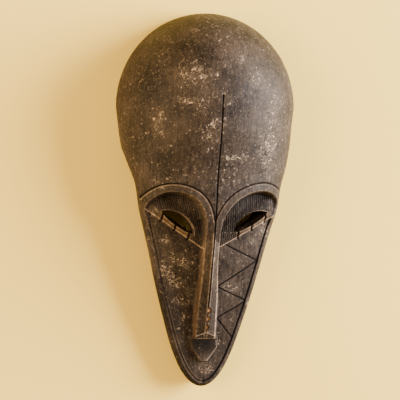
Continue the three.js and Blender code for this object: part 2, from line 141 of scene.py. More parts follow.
# Outline, edge line, forehead and cheeks
lower_outline = profile([
    (0, 0), (0.0444, 0.0545), (0.109, 0.126), (0.193, 0.214), (0.28, 0.315), (0.367, 0.42),
    (0.429, 0.511), (0.484, 0.598), (0.538, 0.652), (0.607, 0.81), (0.667, 0.912), (DOME_SHARE, 1)])
edge_height = profile([
    (0, 18), (0.0444, 19), (0.129, 21), (0.216, 25.5), (0.3, 29), (0.344, 32), (0.429, 35),
    (0.478, 38), (0.538, 36), (0.62, 22), (0.727, 6), (1, 4)])
forehead_share = profile([
    (0.38, 0.66), (0.41, 0.735), (0.447, 0.785), (0.5, 0.813), (0.553, 0.833), (0.633, 0.912),
    (0.7, 0.978), (CROWN_SHARE, 1)])
ridge_slope = profile([(0.35, 0.62), (0.49, 0.02), (1, 0)])
cheek_rise = profile([
    (0, 0), (0.13, 0.6), (0.23, 2), (0.331, 7), (0.375, 9), (0.456, 13), (0.6, 15)])


FOREHEAD_ROUNDNESS = 0.58


def half_width(y):
    """Half-width of the outline seen from the front: the profile below, half an ellipse above"""
    y = np.asarray(y, float)
    centre = at_share(DOME_SHARE)
    t = np.clip((y - centre) / (DOME_Y - centre), 0, 1)
    above = np.sqrt(1 - t * t)
    below = np.sqrt(np.maximum(0, lower_outline(y)))
    return MASK_HALF_WIDTH * np.where(y > centre, above, below)


def crown_height(y):
    """Height of the forehead on the middle line"""
    crown = at_share(CROWN_SHARE)
    t = np.clip((y - crown) / (DOME_Y - crown), 0, 1)
    edge = edge_height(y)
    beyond = edge + (DOME_DEPTH - edge) * np.sqrt(1 - t * t)
    return np.where(y > crown, beyond, DOME_DEPTH * forehead_share(y))


def face_height(x, y):
    """The sunken face: a cheek that is arched a little, with the bead round its edge"""
    width = half_width(y)
    bead = np.minimum(BEAD_WIDTH, width)
    inside = width - bead
    from_end = np.clip(y - CHIN_Y, 0, BEAD_WIDTH) / BEAD_WIDTH
    round_end = np.sqrt(1 - (1 - from_end) ** 2)
    across = np.abs(x)
    t = np.clip((across - inside) / np.maximum(bead, TINY), 0, 1)
    u = np.clip(across / np.maximum(inside, TINY), 0, 1)
    crest = edge_height(y) + BEAD_HEIGHT * round_end * np.sqrt(1 - t * t)
    return crest + np.where(across > inside, 0, cheek_rise(y) * (1 - u * u))


def forehead_height(x, y):
    """The dome and the forehead, which run into the face at the edge below the brows"""
    edge = edge_height(y)
    width = half_width(y)
    across = np.abs(x)
    u = np.clip(across / np.maximum(width, TINY), 0, 1)
    height = edge + (crown_height(y) - edge) * (1 - u * u) ** FOREHEAD_ROUNDNESS
    height = height - ridge_slope(y) * np.minimum(across, NOSE_TIP_HALF_WIDTH)
    start = width - 2 * BEAD_WIDTH
    near_edge = smooth(0, BEAD_WIDTH, across - start)
    below_brow = 1 - smooth(at_share(0.41), at_share(0.51), y)
    return height + (face_height(x, y) - 1 - height) * near_edge * below_brow


class Side:
    """The right (1) or left (-1) of the face. The eyes differ a little, as hand carving does."""
    def __init__(self, sign):
        self.sign = sign
        self.shift = sign * EYE_UNEVENNESS
        self.tilt = math.radians(SLIT_TILT - 0.6 * sign * EYE_UNEVENNESS)
        self.cx = EYE_SPACING + self.shift
        self.cy = at_share(SLIT_SHARE) + 0.15 * self.shift

    def to_face(self, along, up):
        x = self.cx + along * math.cos(self.tilt) - up * math.sin(self.tilt)
        return self.sign * x, self.cy + along * math.sin(self.tilt) + up * math.cos(self.tilt)

    def from_face(self, x, y):
        dx, dy = self.sign * x - self.cx, y - self.cy
        along = dx * math.cos(self.tilt) + dy * math.sin(self.tilt)
        return along, -dx * math.sin(self.tilt) + dy * math.cos(self.tilt)


SIDES = [Side(1), Side(-1)]


def lid_height(side, x, y):
    """The eye's lid, which bulges above the sunken face and fades out at the bead"""
    up = side.from_face(x, y)[1] + LID_DROP
    bulge = np.sin(math.pi * np.clip(up / (3.2 * LID_DROP), 0, 1))
    width = half_width(y)
    fade = 1 - smooth(0, 1, (np.abs(x) - width + 2.2 * BEAD_WIDTH) / (1.8 * BEAD_WIDTH))
    return face_height(x, y) + (LID_STEP + LID_BULGE * bulge) * fade


BROW_STATIONS = [
    (0.0196, 0.394), (0.0191, 0.43), (0.0238, 0.46), (0.0356, 0.4869), (0.0527, 0.5078),
    (0.0731, 0.5207), (0.096, 0.5289), (0.1233, 0.5313), (0.1464, 0.5258), (0.1656, 0.5133),
    (0.1773, 0.496), (0.1778, 0.4767), (0.1691, 0.4578)]


def brow_path(side, steps=160):
    """The brow edge as a centripetal Catmull-Rom curve through its stations"""
    points = []
    for i, (across, up) in enumerate(BROW_STATIONS):
        outer = smooth(1, 7, i) - smooth(9, 12, i)
        inner = 1 - smooth(1, 5, i)
        x = across * MASK_LENGTH + side.shift * outer + side.sign * NOSE_LEAN * inner
        points.append((side.sign * x, at_share(up) + 0.3 * side.shift * outer))
    points.insert(0, (points[0][0], at_share(0.35)))
    for share in (0.385, 0.35):
        inset = half_width(at_share(share)) - RIM_GROOVE_INSET
        points.append((side.sign * inset, at_share(share)))
    points = np.array(points, float)
    points = np.vstack([2 * points[0] - points[1], points, 2 * points[-1] - points[-2]])
    path = []
    for share in np.linspace(0, 1, steps + 1):
        at = share * (len(points) - 3)
        i = min(int(at), len(points) - 4)
        t = at - i
        p0, p1, p2, p3 = points[i:i + 4]
        d0, d1, d2 = (math.sqrt(math.dist(a, b)) for a, b in ((p0, p1), (p1, p2), (p2, p3)))
        m1 = d1 * ((p1 - p0) / d0 - (p2 - p0) / (d0 + d1) + (p2 - p1) / d1)
        m2 = d1 * ((p2 - p1) / d1 - (p3 - p1) / (d1 + d2) + (p3 - p2) / d2)
        path.append(p1 + m1 * t + (3 * (p2 - p1) - 2 * m1 - m2) * t * t
                    + (2 * (p1 - p2) + m1 + m2) * t ** 3)
    return path


def to_path(x, y, path):
    """Distance to the nearest point of a line, its share of the line and the side it is on"""
    best = np.full(x.shape, np.inf)
    share = np.zeros(x.shape)
    turn = np.ones(x.shape)
    count = len(path) - 1
    for i in range(count):
        (ax, ay), (bx, by) = path[i], path[i + 1]
        dx, dy = bx - ax, by - ay
        t = np.clip(((x - ax) * dx + (y - ay) * dy) / (dx * dx + dy * dy), 0, 1)
        away = np.hypot(x - ax - t * dx, y - ay - t * dy)
        nearer = away < best
        best = np.where(nearer, away, best)
        share = np.where(nearer, (i + t) / count, share)
        turn = np.where(nearer, np.sign(dx * (y - ay) - dy * (x - ax)), turn)
    return best, share, turn


# Nose
NOSE_TIP_Y = at_share(0.134)
NOSE_RIDGE_END = at_share(0.153)
NOSE_TOP = at_share(0.43)
NOSE_FOOT_SUNK = 4
TIP_WALL_DROP = 5
TIP_WALL_DRAFT = 0.6
ridge_height = profile([
    (0.153, 42), (0.222, 50.5), (0.284, 60.5), (0.331, 68.5), (0.38, 76.5), (0.43, 81)])
ridge_sharpness = profile([(0.167, 0.62), (0.331, 1)])
nose_flare = profile([(0.13, 1), (0.231, 0.75), (0.331, 0.1), (0.43, 0)])
nose_spread = profile([(0.13, 4.4), (0.222, 4.9), (0.331, 1.6), (0.43, 1)])


def lean_at(y):
    return NOSE_LEAN * smooth(at_share(0.25), at_share(0.39), y)


def nose_half_width(y):
    return NOSE_BRIDGE_HALF_WIDTH + (NOSE_TIP_HALF_WIDTH - NOSE_BRIDGE_HALF_WIDTH) * nose_flare(y)


def tip_facet(y):
    """The three-cornered facet from the end of the ridge down to both corners of the tip"""
    rise = ridge_height(NOSE_RIDGE_END) - NOSE_TIP_HEIGHT
    return NOSE_TIP_HEIGHT + rise * (y - NOSE_TIP_Y) / (NOSE_RIDGE_END - NOSE_TIP_Y)


def nose_height(x, y):
    """The roof-shaped nose with its steep walls, cut off square at the tip"""
    across = np.abs(x - lean_at(y))
    top = nose_half_width(y)
    foot = top + nose_spread(y)
    ridge = ridge_height(y)
    edge = ridge - NOSE_RIDGE_RISE * ridge_sharpness(y)
    low = face_height(foot, y) - NOSE_FOOT_SUNK
    on_top = ridge - (ridge - edge) * across / top
    on_side = edge + (low - edge) * (across - top) / (foot - top)
    height = np.where(across < top, on_top, on_side)
    height = np.minimum(height, tip_facet(y))
    height = height - TIP_WALL_DROP * np.clip((NOSE_TIP_Y - y) / TIP_WALL_DRAFT, 0, 1)
    gone = (across > foot) | (y < NOSE_TIP_Y - TIP_WALL_DRAFT - 0.01) | (y > NOSE_TOP)
    return np.where(gone, NOWHERE, height)


def inside_of(x, y, corners):
    """How far a point lies inside a convex outline, given anticlockwise"""
    depth = np.full(x.shape, np.inf)
    for (ax, ay), (bx, by) in zip(corners, corners[1:] + corners[:1]):
        size = math.hypot(bx - ax, by - ay)
        depth = np.minimum(depth, ((bx - ax) * (y - ay) - (by - ay) * (x - ax)) / size)
    return depth


MOUTH_TOP = NOSE_TIP_Y + 2
MOUTH_SHOULDER = NOSE_TIP_Y - 0.4 * MOUTH_LENGTH
MOUTH_BOTTOM = NOSE_TIP_Y - MOUTH_LENGTH
MOUTH_OUTLINE = [
    (-MOUTH_HALF_WIDTH, MOUTH_TOP), (-MOUTH_HALF_WIDTH, MOUTH_SHOULDER),
    (-MOUTH_LIP_HALF_WIDTH, MOUTH_BOTTOM), (MOUTH_LIP_HALF_WIDTH, MOUTH_BOTTOM),
    (MOUTH_HALF_WIDTH, MOUTH_SHOULDER), (MOUTH_HALF_WIDTH, MOUTH_TOP)]
MOUTH_FALL = 2.5
MOUTH_ARCH = 1.2
MOUTH_FOOT_SUNK = 4


def mouth_height(x, y):
    """The raised mouth, which falls a little towards the chin and has steep walls"""
    base = face_height(np.array(0.0), np.array(MOUTH_SHOULDER))
    fall = MOUTH_FALL * (MOUTH_TOP - y) / MOUTH_LENGTH
    top = base + MOUTH_HEIGHT - fall - MOUTH_ARCH * (np.abs(x) / MOUTH_HALF_WIDTH) ** 2
    outside = np.clip(-inside_of(x, y, MOUTH_OUTLINE), 0, None)
    wall = top - outside / MOUTH_DRAFT * (MOUTH_HEIGHT + MOUTH_FOOT_SUNK)
    return np.where(outside > 2 * MOUTH_DRAFT, NOWHERE, wall)


def outwards(y):
    """The direction straight out from the outline at y, across and up"""
    step = 0.05
    y = np.asarray(y, float)
    slope = (half_width(y + step) - half_width(y - step)) / (2 * step)
    size = np.hypot(1, slope)
    at_end = (y <= CHIN_Y + step) | (y >= DOME_Y - step)
    return np.where(at_end, 0, 1 / size), np.where(at_end, np.sign(y), -slope / size)


# Corners of the zigzag on each cheek, across from the middle and up from the chin, as shares of
# the mask's length, and how far each stroke runs past them as a share of its own
ZIGZAG = [
    (0.0462, 0.3867), (0.1287, 0.3476), (0.0327, 0.2776), (0.1045, 0.2384), (0.0347, 0.1907),
    (0.076, 0.1358)]
ZIGZAG_STRETCH = 0.04


def zigzag_lines(side):
    """The strokes of the zigzag on one cheek, from the eye to beside the mouth"""
    corners = [(side.sign * across * MASK_LENGTH, at_share(up)) for across, up in ZIGZAG]
    for i, end in enumerate(corners[1:]):
        start = corners[i] if i == 0 else (corners[i][0], corners[i][1] - ZIGZAG_GAP)
        reach = [ZIGZAG_STRETCH * (b - a) for a, b in zip(start, end)]
        yield [(start[0] - reach[0], start[1] - reach[1]), (end[0] + reach[0], end[1] + reach[1])]


def rim_line():
    """The line inside the bead, from under one eye round the chin to the other"""
    rounded_to = at_share(0.06)
    round_rows = CHIN_Y + (rounded_to - CHIN_Y) * (1 - np.cos(np.linspace(0, math.pi / 2, 9)))
    rows = np.concatenate([round_rows[1:], np.linspace(rounded_to, at_share(0.452), 20)])
    nx, ny = outwards(rows)
    x = np.maximum(0, half_width(rows) - RIM_GROOVE_INSET * nx)
    y = rows - RIM_GROOVE_INSET * ny
    right = list(zip(x, y))
    left = [(-a, b) for a, b in reversed(right)]
    return left + [(0, CHIN_Y + RIM_GROOVE_INSET)] + right


def v_cut(distance, width, depth):
    """How deep a V-shaped cut is at a distance from its middle"""
    return depth * np.clip(1 - distance / (0.5 * width), 0, 1)


# What is cut into the front and what shows on it. Distances are in millimetres, and strengths run
# from 0 to 1. Where the two sides differ, 1 is the right side of the face and -1 the left.
FAR = 9.0
SLIT_BOW = 0.8
LINE_WIDTH = 0.8 * GROOVE_WIDTH
BROW_LINE_DEPTH = 0.5 * GROOVE_DEPTH
MIDDLE_LINE_DEPTH = 0.7 * GROOVE_DEPTH
RIM_LINE_DEPTH = {1: 1.2, -1: 0.7}
ZIGZAG_DEPTH = {1: 0.7, -1: 0.4}
LIGHT_BESIDE_LINE = 1.8
NOTCH_SPACING = 0.78 * SLIT_HALF_LENGTH
NOTCH_SLANT = 4
HATCH_WOBBLE = 0.9
HATCH_TURN = {1: (1, 0), -1: (0.97, 0.24)}

BROW_LINE_DARK = 0.9
NOTCH_DARK = 0.9
MIDDLE_LINE_DARK = 0.95
RIM_LINE_DARK = {1: 0.97, -1: 0.6}
ZIGZAG_DARK = {1: 0.97, -1: 0.32}
# Painted shade: the nose's shadow on the mouth below it
NOSE_SHADOW_ON_MOUTH = 0.8
LOW_FACE_DARK = 0.25
# Painted shade: the nose's shadow on the cheek left of it
NOSE_SHADOW_ON_CHEEK = 0.4
HATCH_DARK = {1: 1.0, -1: 0.6}
# Strengths of the pale edge lines, partly rubbed wood and partly painted highlight; on the nose and
# mouth they are stronger on the right, where the light falls
BROW_LINE_LIGHT = {1: 0.1, -1: 0.3}
BROW_LIGHT = 0.15
LID_LIGHT = 0.6
SLIT_LIGHT = 0.35
RIM_LIGHT = 0.2
NOSE_LIGHT = {1: 0.3, -1: 0.25}
LOW_NOSE_LIGHT = 0.6
RIDGE_LIGHT = 0.3
TIP_LIGHT = 0.8
FACET_LIGHT = 0.5
MOUTH_LIGHT = {1: 0.5, -1: 0.15}
LID_WEAR = {1: 0.1, -1: 0.3}


class Lines:
    """How far away the nearest of several lines is, in millimetres, and how strongly it shows"""
    def __init__(self, shape):
        self.away = np.full(shape, FAR)
        self.strength = np.zeros(shape)

    def take(self, away, strength, where=True):
        nearer = (away < self.away) & where
        self.away = np.where(nearer, away, self.away)
        self.strength = np.where(nearer, strength, self.strength)


class Marks:
    """How deep the front is cut at each point, and what shows there"""
    def __init__(self, shape):
        self.cut = np.zeros(shape)
        self.lines = Lines(shape)
        self.edges = Lines(shape)
        self.shaded = np.zeros(shape)
        self.worn = np.zeros(shape)
        self.raw = np.zeros(shape)
        self.strokes = np.zeros(shape)
        self.phase = np.zeros(shape)

    def deepen(self, depth):
        self.cut = np.maximum(self.cut, depth)

    def fields(self):
        return {
            "line_away": self.lines.away, "line_strength": self.lines.strength,
            "edge_away": self.edges.away, "edge_wear_and_highlight": self.edges.strength,
            "shaded": self.shaded, "worn": self.worn, "raw": self.raw,
            "strokes": self.strokes, "phase": self.phase}


# Where pale marks gather: the middle in millimetres, the reach across and up, and the strength
MARKED = [
    (-32, 147, 19, 15, 1), (-8, 148, 4, 2, 1.6), (-35, 117, 19, 6, 0.9), (-70, 92, 8, 16, 0.8),
    (-7, 93, 12, 8, 0.8), (-13, 77, 11, 11, 0.8), (18, 54, 15, 6, 0.8), (61, 65, 14, 28, 0.9),
    (61, 102, 12, 15, 0.7), (41, 143, 16, 11, 0.6), (66, 121, 9, 11, 0.6), (24, 165, 10, 8, 0.5),
    (-5, 217, 28, 6, 0.4), (-50, 189, 10, 5, 0.3), (-103, 89, 6, 20, 0.3), (-26, 38, 12, 5, 0.3),
    (-27, 200, 5, 2, 1), (-53, -46, 6, 6, 0.9), (-45, -65, 9, 6, 0.5), (-51, -82, 10, 11, 1),
    (-38, -96, 15, 10, 0.8), (-30, -74, 16, 12, 0.7), (-30, -118, 12, 10, 0.8),
    (-26, -140, 8, 12, 0.6), (28, -102, 12, 8, 0.9), (66, -30, 8, 15, 0.8), (54, -45, 6, 5, 0.6),
    (54, -119, 4, 9, 0.7), (4, -202, 9, 8, 1), (17, -170, 5, 4, 1), (-21, -106, 8, 10, 0.5),
    (-52, 27, 28, 11, 0.35), (19, 33, 25, 9, 0.3), (-68, -13, 6, 6, 0.6), (-64, 21, 10, 6, 0.4)]
MARKED_EVERYWHERE = 0.3
MARKED_PATCH_SIZE = 24


def marked(x, y):
    """How closely pale marks gather at each point"""
    level = MARKED_EVERYWHERE * noise(x, y, MARKED_PATCH_SIZE, 7) ** 2
    for cx, cy, across, up, strength in MARKED:
        away = ((x - cx) / across) ** 2 + ((y - cy) / up) ** 2
        level = np.maximum(level, strength * np.exp(-away))
    return level


class Eye:
    """Where each point of the front lies from one eye's brow and slit"""
    def __init__(self, x, y, side):
        self.side = side
        self.mine = side.sign * (x - 0.5 * lean_at(y)) > 0
        away, self.share, turn = to_path(x, y, brow_path(side))
        self.inside = np.where(self.mine, -side.sign * turn * away, NOWHERE)
        self.along, self.up = side.from_face(x, y)
        t = np.clip(self.along / SLIT_HALF_LENGTH, -1, 1)
        self.bow = (1 - t * t) ** SLIT_BOW
        level = (y > at_share(0.36)) & (y < at_share(0.53))
        self.field = self.mine & (self.inside > 0) & level


def mark_brow(x, y, eye, marks):
    """The line one band above the brow's edge, with a pale edge beside it that is partly rubbed
    wood and partly painted highlight
    """
    band = np.abs(eye.inside + BROW_BAND)
    shown = eye.mine & (y > at_share(0.45)) & (np.abs(x) < half_width(y) - 1.5)
    marks.deepen(np.where(shown, v_cut(band, LINE_WIDTH, BROW_LINE_DEPTH), 0))
    marks.lines.take(band, BROW_LINE_DARK, shown)
    beside = np.abs(eye.inside + BROW_BAND - LIGHT_BESIDE_LINE)
    marks.edges.take(beside, BROW_LINE_LIGHT[eye.side.sign], shown)


def mark_hatch(x, y, eye, marks):
    """Fine knife strokes, from the brow down to the slit and beside it to the lid's border"""
    above_slit = eye.up > SLIT_UPPER * eye.bow + 0.8
    beside = (eye.along < -0.8 * SLIT_HALF_LENGTH) & (eye.up > -LID_DROP + 1)
    wobble = HATCH_WOBBLE * noise(x, y, 14, 5 + eye.side.sign)
    turn_x, turn_y = HATCH_TURN[eye.side.sign]
    place = (turn_x * x + turn_y * y + wobble) / HATCH_SPACING
    wave = 0.5 + 0.5 * np.cos(2 * math.pi * place)
    hatch = eye.field & (above_slit | beside) & (eye.inside > 0.55 * BROW_DRAFT)
    marks.deepen(np.where(hatch, HATCH_DEPTH * wave, 0))
    marks.strokes = np.where(hatch, HATCH_DARK[eye.side.sign], marks.strokes)
    marks.phase = np.where(eye.mine, place, marks.phase)


def mark_notches(x, y, eye, marks):
    """Short notches across the lower lid"""
    for i in range(NOTCHES):
        at = (i - (NOTCHES - 1) / 2) * NOTCH_SPACING + 1
        top = eye.side.to_face(at, -0.2 * SLIT_LOWER)
        foot = eye.side.to_face(at - NOTCH_SLANT, -LID_DROP - 0.8)
        notch = to_path(x, y, [top, foot])[0]
        marks.deepen(v_cut(notch, NOTCH_WIDTH, NOTCH_DEPTH))
        marks.lines.take(notch - 0.2, NOTCH_DARK)


def rub_and_light_eye_edges(y, eye, marks):
    """Edges that hands and cloth rub, drawn pale as worn wood and as painted highlight: the lid's
    border, the lips of the slit and the brow
    """
    # Pale lines along the lid's border, the slit's lips and the brow: partly rubbed wood, partly
    # painted highlight
    marks.edges.take(np.abs(eye.up + LID_DROP - 0.4), LID_LIGHT, eye.field)
    upper_lip = np.abs(eye.up - SLIT_UPPER * eye.bow)
    lower_lip = np.abs(eye.up + SLIT_LOWER * eye.bow)
    at_slit = eye.field & (np.abs(eye.along) < SLIT_HALF_LENGTH)
    marks.edges.take(np.minimum(upper_lip, lower_lip), SLIT_LIGHT, at_slit)
    marks.edges.take(np.abs(eye.inside + 0.5), BROW_LIGHT, eye.mine & (y > at_share(0.38)))
    strip = eye.field & (eye.up < -SLIT_LOWER * eye.bow) & (eye.up > -LID_DROP)
    mid_lid = 1 - smooth(0.6, 1.15, np.abs(eye.along) / SLIT_HALF_LENGTH)
    marks.worn = np.maximum(marks.worn, np.where(strip, LID_WEAR[eye.side.sign] * mid_lid, 0))


def mark_zigzag(x, y, eye, marks):
    """The zigzag, which is cut deep on one cheek and only scored on the other"""
    for line in zigzag_lines(eye.side):
        stroke = to_path(x, y, line)[0]
        marks.deepen(v_cut(stroke, LINE_WIDTH, ZIGZAG_DEPTH[eye.side.sign]))
        marks.lines.take(stroke, ZIGZAG_DARK[eye.side.sign])


def mark_long_lines(x, y, marks):
    """The cut lines down the middle and inside the bead, with a pale line beside the rim line low
    on the left that is painted highlight on the groove's lit edge
    """
    centre = np.abs(x - 0.5 * lean_at(y))
    down_middle = (y > at_share(0.222)) & (y < at_share(0.782))
    marks.deepen(np.where(down_middle, v_cut(centre, LINE_WIDTH, MIDDLE_LINE_DEPTH), 0))
    marks.lines.take(centre, MIDDLE_LINE_DARK, down_middle)
    rim = to_path(x, y, rim_line())[0]
    right = x > 0
    marks.deepen(v_cut(rim, GROOVE_WIDTH, np.where(right, RIM_LINE_DEPTH[1], RIM_LINE_DEPTH[-1])))
    darkness = np.where(right, RIM_LINE_DARK[1], RIM_LINE_DARK[-1])
    marks.lines.take(np.where(right, rim - 0.3, rim), darkness)
    # Painted highlight: the lit edge beside the rim line, low on the left
    low_left = (1 - smooth(at_share(0.05), at_share(0.3), y)) * (x < 0)
    marks.edges.take(np.abs(rim - LIGHT_BESIDE_LINE), RIM_LIGHT * low_left)


def rub_and_light_nose(x, y, on_nose, marks):
    """The nose's edges, its ridge and its tip are drawn pale, partly rubbed wood and partly painted
    highlight, paler on the right edge where the light falls; warm streaks down its left wall are
    partly wear and partly painted warm light from the left
    """
    from_nose = x - lean_at(y)
    centre = np.abs(x - 0.5 * lean_at(y))
    along_nose = (y > NOSE_TIP_Y - 1) & (y < at_share(0.46)) & on_nose
    low_nose = 1 - smooth(at_share(0.2), at_share(0.38), y)
    nose_edge = np.abs(np.abs(from_nose) - nose_half_width(y) + 0.4)
    # Painted highlight: the right edge, which faces the light, is paler, more so low on the nose
    right_light = NOSE_LIGHT[1] + LOW_NOSE_LIGHT * low_nose
    marks.edges.take(nose_edge, np.where(from_nose > 0, right_light, NOSE_LIGHT[-1]), along_nose)
    marks.edges.take(np.abs(centre - 1.5), RIDGE_LIGHT, along_nose)
    at_tip = (y > NOSE_TIP_Y - 0.4) & (y < NOSE_RIDGE_END + 1) & (np.abs(x) < NOSE_TIP_HALF_WIDTH)
    marks.edges.take(np.abs(y - NOSE_TIP_Y - 0.5), TIP_LIGHT, at_tip)
    slope = NOSE_RIDGE_RISE * ridge_sharpness(y) / NOSE_TIP_HALF_WIDTH
    roof = ridge_height(y) - slope * np.abs(x)
    facet_rise = ridge_height(NOSE_RIDGE_END) - NOSE_TIP_HEIGHT
    facet_slope = facet_rise / (NOSE_RIDGE_END - NOSE_TIP_Y)
    marks.edges.take(np.abs(roof - tip_facet(y)) / facet_slope, FACET_LIGHT, at_tip)
    # Warm streaks down the left wall: partly wear, partly painted warm light bounced from the left
    down_wall = (-from_nose - nose_half_width(y)) / nose_spread(y)
    streak = 0.1 + 0.5 * noise(x, y / 12, 1.6, 4)
    streak = streak * np.clip(1 - down_wall, 0, 1) * (0.4 + 0.6 * low_nose)
    marks.worn = np.maximum(marks.worn, np.where((down_wall > 0) & along_nose, streak, 0))


def shade_mouth_and_chin(x, y, marks):
    """The mouth's edge is rubbed, with painted highlight stronger on the right; the mouth and the
    cheek left of the nose are painted dark as the nose's shadow, and the face is darker towards the
    chin
    """
    in_mouth = inside_of(x, y, MOUTH_OUTLINE)
    light = np.where(x > 0, MOUTH_LIGHT[1], MOUTH_LIGHT[-1])
    marks.edges.take(np.abs(in_mouth - 0.3), light, y < MOUTH_SHOULDER + 6)
    # Painted shade: the nose's shadow darkens the mouth below it
    dark = NOSE_SHADOW_ON_MOUTH * smooth(MOUTH_BOTTOM - 4, MOUTH_SHOULDER + 6, y) * smooth(-3, 1, in_mouth)
    dark = dark * (y < NOSE_TIP_Y - 0.5)
    # The face is darker towards the chin; left of the nose the darkening is painted shade, the
    # nose's shadow
    low_face = 1 - smooth(at_share(0.1), at_share(0.4), y)
    beside_nose = x < lean_at(y) - nose_half_width(y)
    low_dark = np.where(beside_nose, NOSE_SHADOW_ON_CHEEK, LOW_FACE_DARK) * low_face
    marks.shaded = np.maximum(dark, low_dark)


def chip_nose(x, y, height, marks):
    """The height with three-cornered chips taken out beside the nose's ridge"""
    for i in range(CHIPS):
        top = at_share(0.225) - i * CHIP_LENGTH
        foot = top - 0.97 * CHIP_LENGTH
        point = CHIP_WIDTH * (1 - 0.15 * i)
        corners = [(-0.3, top), (-0.3, foot), (point, foot + 0.48 * CHIP_LENGTH)]
        depth = inside_of(x, y, corners)
        bottom = ridge_height(y) - 3 - 0.2 * x
        height = np.where(depth > 0, np.minimum(height, bottom), height)
        marks.raw = np.maximum(marks.raw, smooth(0.1, 0.7, depth))
    return height


def socket_wall(x, y, floor, in_socket, draft):
    """The forehead, which ends in a wall that slopes down into the sockets, over the sunken face"""
    forehead = forehead_height(x, y)
    t = np.clip(in_socket / draft, 0, 1.2)
    drop = np.interp(t, [0, 0.35, 0.7, 1, 1.2], [0, 0.45, 0.8, 1.05, 1.4])
    wall = forehead + (np.minimum(forehead, floor) - forehead) * drop
    above = np.where(in_socket <= 0, forehead, wall)
    above = above - 60 * (1 - smooth(at_share(0.365), at_share(0.385), y))
    return np.where(y < at_share(0.6), np.maximum(floor, above), above)


def hand_cut(x, y):
    """How far the surface lies above or below even, as a knife leaves it, and not at the border"""
    uneven = 0.5 * (noise(x, y, 16, 1) - 0.5) + 0.35 * (noise(x, y, 7, 2) - 0.5)
    uneven = uneven + 0.22 * (noise(x, y / 3, 2.6, 3) - 0.5)
    return uneven * (smooth(0.3, 3, half_width(y) - np.abs(x)) * smooth(0.5, 6, DOME_Y - y))


def carve(x, y):
    """Height of the front in millimetres, and the fields of its marks"""
    marks = Marks(x.shape)
    face = face_height(x, y)
    floor = face.copy()
    in_socket = np.full(x.shape, NOWHERE)
    draft = np.full(x.shape, float(BROW_DRAFT))
    on_lid = smooth(at_share(0.34), at_share(0.36), y)
    for side in SIDES:
        eye = Eye(x, y, side)
        in_socket = np.maximum(in_socket, eye.inside)
        steep = 0.2 + 0.8 * smooth(0.16, 0.42, eye.share)
        draft = np.where(eye.mine, BROW_DRAFT * steep, draft)
        step = smooth(-LID_DROP - 0.7, -LID_DROP + 0.2, eye.up) * on_lid
        floor = np.where(eye.mine, face + (lid_height(side, x, y) - face) * step, floor)
        mark_brow(x, y, eye, marks)
        mark_hatch(x, y, eye, marks)
        mark_notches(x, y, eye, marks)
        rub_and_light_eye_edges(y, eye, marks)
        mark_zigzag(x, y, eye, marks)

    height = socket_wall(x, y, floor, in_socket, draft)
    nose = nose_height(x, y)
    on_nose = nose > height
    height = np.maximum(np.maximum(height, nose), mouth_height(x, y))
    mark_long_lines(x, y, marks)
    rub_and_light_nose(x, y, on_nose, marks)
    shade_mouth_and_chin(x, y, marks)
    height = chip_nose(x, y, height, marks)
    height = height - marks.cut + hand_cut(x, y)
    fields = marks.fields()
    fields["marked"] = marked(x, y)
    return np.minimum(height, DOME_DEPTH - 0.05), fields


# Hollow
backed_share = profile([
    (0.035, 0.144), (0.127, 0.264), (0.231, 0.319), (0.331, 0.404), (0.411, 0.489), (0.456, 0.549),
    (0.5, 0.614), (0.533, 0.669), (0.578, 0.794), (0.633, 0.894), (0.727, 0.989),
    (HOLLOW_CROWN_SHARE, 1)])
HOLLOW_START = CHIN_Y + RIM_TUCK + WALL
HOLLOW_END = DOME_Y - WALL


def tuck_at(y):
    """How far the side wall is drawn in at the rim, below the dome"""
    return RIM_TUCK * (1 - smooth(at_share(0.55), at_share(0.645), y))


def hollow_half_width(y):
    """Half-width of the hollow at the rim: the outline at the same share, less a wall"""
    middle = (HOLLOW_START + HOLLOW_END) / 2
    below_middle = middle - CHIN_Y - RIM_TUCK
    first = CHIN_Y + RIM_TUCK + (y - HOLLOW_START) / (middle - HOLLOW_START) * below_middle
    last = DOME_Y - (HOLLOW_END - y) / (HOLLOW_END - middle) * (DOME_Y - middle)
    scaled = np.where(y < middle, first, last)
    outward = outwards(scaled)[0]
    outer = half_width(scaled) - tuck_at(scaled) * outward
    return np.maximum(0, outer - WALL * np.minimum(1, outward + 0.15))


def hollow_height(x, y):
    """Height of the hollow's roof above the rim plane"""
    start = np.sqrt(smooth(HOLLOW_START, HOLLOW_START + 3 * WALL, y))
    centre = at_share(HOLLOW_CROWN_SHARE)
    t = np.clip((y - centre) / (HOLLOW_END - centre), 0, 1)
    width = np.maximum(TINY, hollow_half_width(y))
    u = np.clip(np.abs(x) / width, 0, 1)
    return (DOME_DEPTH * backed_share(y) - WALL) * start * np.sqrt(1 - t * t) * np.sqrt(1 - u * u)


# The front's grid has rows from the chin to the dome and columns from the middle line to the edge.
# They lie closer where the carving is finer, and follow the nose's edges and the bead.
ROUND_CHIN = 25
ROUND_DOME = 60
CHIN_ROWS = 27
FACE_ROWS = 228
FOREHEAD_ROWS = 36
DOME_ROWS = 44
NOSE_COLUMNS = 15
WALL_COLUMNS = 21
BEAD_COLUMN = 86
EDGE_COLUMN = 98
WALL_RINGS = (0.12, 0.28, 0.45, 0.62, 0.8, 0.94, 1)
HOLLOW_RINGS = 12
MERGED = 1e-7
SHARP_ANGLE = 58


def row_places():
    """Where the rows lie from the chin to the dome"""
    above_brows = at_share(0.585)
    chin = CHIN_Y + ROUND_CHIN * (1 - np.cos(np.linspace(0, math.pi / 2, CHIN_ROWS)))
    face = np.linspace(CHIN_Y + ROUND_CHIN, above_brows, FACE_ROWS)
    forehead = np.linspace(above_brows, DOME_Y - ROUND_DOME, FOREHEAD_ROWS)
    dome = DOME_Y - ROUND_DOME * (1 - np.cos(np.linspace(math.pi / 2, 0, DOME_ROWS)))
    rows = np.concatenate([chin, face[1:], forehead[1:], dome[1:]])
    at = int(np.argmin(np.abs(rows - NOSE_TIP_Y)))
    rows[at] = NOSE_TIP_Y
    rows[at - 1] = NOSE_TIP_Y - TIP_WALL_DRAFT
    return rows


